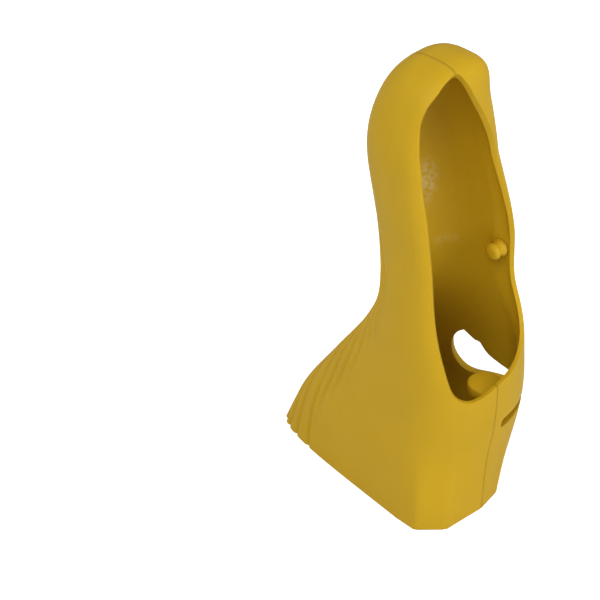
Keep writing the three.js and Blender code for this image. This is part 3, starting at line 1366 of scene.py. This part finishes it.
@dataclass(frozen=True)
class RubberFinish:
    """Matte moulded rubber with a fine grain, slight colour drift, a parting line and painted
    shade darkening the grooves.
    """

    colour: tuple[float, float, float] = (0.53, 0.325, 0.008)
    deep_colour: tuple[float, float, float] = (0.36, 0.2, 0.005)
    drift: float = 0.9
    # share of painted shade that darkens the grooves
    groove_painted_shade: float = 0.35
    seam_soil: float = 0.3
    seam_half_width: float = 0.28
    seam_height: float = 0.00022
    roughness: float = 0.6
    specular: float = 0.18
    subsurface: float = 0.12
    subsurface_scale: float = 0.0015
    subsurface_radius: tuple[float, float, float] = (1.0, 0.55, 0.12)
    grain_scale: float = 2600.0
    grain_strength: float = 0.12
    grain_height: float = 0.0001
    cloud_scale: float = 70.0
    marks: tuple[Mark, ...] = (
        Mark((-26.0, 6.6, 78.7), (7, 3.4, 9), (0, 0, 0), (0.62, 0.5, 0.2), 0.75, 900),
        Mark((-26.0, 12.7, 62.3), (7, 6, 3), (0, 0, 0), (0.6, 0.46, 0.14), 0.45, 500),
        Mark((-0.5, -14.2, 38.2), (2.5, 1.6, 0.35), (25, 0, 0), (0.2, 0.12, 0.01), 0.55, 700),
    )

    def material(self) -> bpy.types.Material:
        """Builds the node material.

        Returns:
            The material.
        """
        material = bpy.data.materials.new("yellow_rubber")
        material.use_nodes = True
        graph = Graph(material.node_tree)
        place = graph.node("TexCoord", {}).outputs["Object"]
        deep = (*self.deep_colour, 1.0)
        faded = (*[c * self.drift for c in self.colour], 1.0)
        colour = graph.mix(graph.noise(place, self.cloud_scale, 4.0), (*self.colour, 1.0), faded)
        # painted shade: the colour darkens towards deep_colour as deeply as each groove is cut
        soil = graph.calculate("MULTIPLY", graph.attribute("groove"), self.groove_painted_shade)
        colour = graph.mix(soil, colour, deep)
        away = graph.calculate("ABSOLUTE", graph.attribute("seam"))
        ridge = graph.fall(away, 0.0, self.seam_half_width)
        seam = graph.calculate("SUBTRACT", ridge, graph.attribute("within"), clamp=True)
        colour = graph.mix(graph.calculate("MULTIPLY", seam, self.seam_soil), colour, deep)
        for mark in self.marks:
            colour = mark.over(graph, place, colour)
        grain = graph.noise(place, self.grain_scale, 3.0)
        grain_bump = graph.bump(grain, self.grain_strength, self.grain_height)
        inputs = {
            "Base Color": colour,
            "Normal": graph.bump(seam, 1.0, self.seam_height, Normal=grain_bump),
            "Roughness": self.roughness,
            "Specular IOR Level": self.specular,
            "Subsurface Weight": self.subsurface,
            "Subsurface Radius": self.subsurface_radius,
            "Subsurface Scale": self.subsurface_scale,
        }
        graph.fill(material.node_tree.nodes["Principled BSDF"], inputs)
        return material


@dataclass(frozen=True)
class FloorFinish:
    """Plain white floor that stays white to the camera and keeps a faint shadow."""

    diffuse: float = 0.8
    glow: float = 0.62

    def material(self) -> bpy.types.Material:
        """Builds the node material.

        Returns:
            The material.
        """
        material = bpy.data.materials.new("floor_white")
        material.use_nodes = True
        graph = Graph(material.node_tree)
        seen = graph.node("LightPath", {}).outputs["Is Camera Ray"]
        inputs = {
            "Base Color": (self.diffuse, self.diffuse, self.diffuse, 1.0),
            "Roughness": 1.0,
            "Specular IOR Level": 0.0,
            "Emission Color": (1.0, 1.0, 1.0, 1.0),
            "Emission Strength": graph.calculate("MULTIPLY", seen, self.glow),
        }
        graph.fill(material.node_tree.nodes["Principled BSDF"], inputs)
        return material


@dataclass(frozen=True)
class Lamp:
    """One soft area lamp that points at a place."""

    name: str
    place: tuple[float, float, float]
    size: float
    power: float

    def build(self, target: Vector) -> None:
        """Adds the lamp.

        Args:
            target: where it points, in metres.
        """
        data = bpy.data.lights.new(self.name, "AREA")
        data.shape = "DISK"
        data.size = self.size
        data.energy = self.power
        lamp = bpy.data.objects.new(self.name, data)
        lamp.location = Vector(self.place)
        lamp.rotation_euler = (target - lamp.location).to_track_quat("-Z", "Y").to_euler()
        bpy.context.scene.collection.objects.link(lamp)


@dataclass(frozen=True)
class Studio:
    """Floor, lamps, world and the camera at the photograph's viewing angle."""

    azimuth: float = 43.5
    elevation: float = 35.0
    distance: float = 600.0
    foot_right: float = 42.96
    foot_down: float = 50.4
    lens: float = 150.0
    floor_size: float = 6.0
    ambient: float = 0.5
    lit_place: tuple[float, float, float] = (0.0, 0.0, 0.06)
    floor: FloorFinish = field(default_factory=FloorFinish)
    lamps: tuple[Lamp, ...] = (
        Lamp("key", (0.35, -0.85, 1.1), 0.7, 8.5),
        Lamp("side", (1.0, 0.1, 0.55), 0.7, 6.0),
        Lamp("fill", (-0.9, -0.5, 0.5), 0.9, 1.2),
    )

    def build(self) -> None:
        """Adds everything around the object."""
        self._floor()
        for lamp in self.lamps:
            lamp.build(Vector(self.lit_place))
        self._world()
        self._camera()
        bpy.context.scene.view_settings.view_transform = "Standard"

    def _floor(self) -> None:
        """Adds the floor, a plane with the white floor material."""
        floor = add(bpy.ops.mesh.primitive_plane_add, "floor", size=self.floor_size)
        floor.data.materials.append(self.floor.material())

    def _world(self) -> None:
        """Sets a plain pale world, white to the camera."""
        world = bpy.data.worlds.new("studio")
        bpy.context.scene.world = world
        world.use_nodes = True
        graph = Graph(world.node_tree)
        seen = graph.node("LightPath", {}).outputs["Is Camera Ray"]
        inputs = {"Value": seen, "To Min": self.ambient, "To Max": 1.0}
        strength = graph.node("MapRange", inputs).outputs["Result"]
        inputs = {"Color": (1.0, 1.0, 1.0, 1.0), "Strength": strength}
        graph.fill(world.node_tree.nodes["Background"], inputs)

    def _camera(self) -> None:
        """Adds the camera and makes it the scene's."""
        azimuth = math.radians(self.azimuth)
        elevation = math.radians(self.elevation)
        forward = np.array([
            -math.sin(azimuth) * math.cos(elevation),
            math.cos(azimuth) * math.cos(elevation),
            -math.sin(elevation),
        ])
        right = np.array([math.cos(azimuth), math.sin(azimuth), 0.0])
        up = np.cross(right, forward)
        place = to_frame(self.foot_down * up - self.distance * forward - self.foot_right * right)
        data = bpy.data.cameras.new("camera")
        data.sensor_width = 36.0
        data.lens = self.lens
        data.clip_start = 0.01
        data.clip_end = 20.0
        camera = bpy.data.objects.new("camera", data)
        turn = Matrix(np.stack([right, up, -forward], axis=1).tolist())
        camera.matrix_world = Matrix.Translation(Vector(place)) @ turn.to_4x4()
        bpy.context.scene.collection.objects.link(camera)
        bpy.context.scene.camera = camera


def main() -> None:
    """Builds the studio and the hood."""
    logging.basicConfig(level=logging.INFO, format="%(name)s: %(message)s")
    Studio().build()
    hood = HoodShell().build()
    hood.data.materials.append(RubberFinish().material())
    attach(hood, "root")
    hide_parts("hood")


if __name__ == "__main__":
    main()
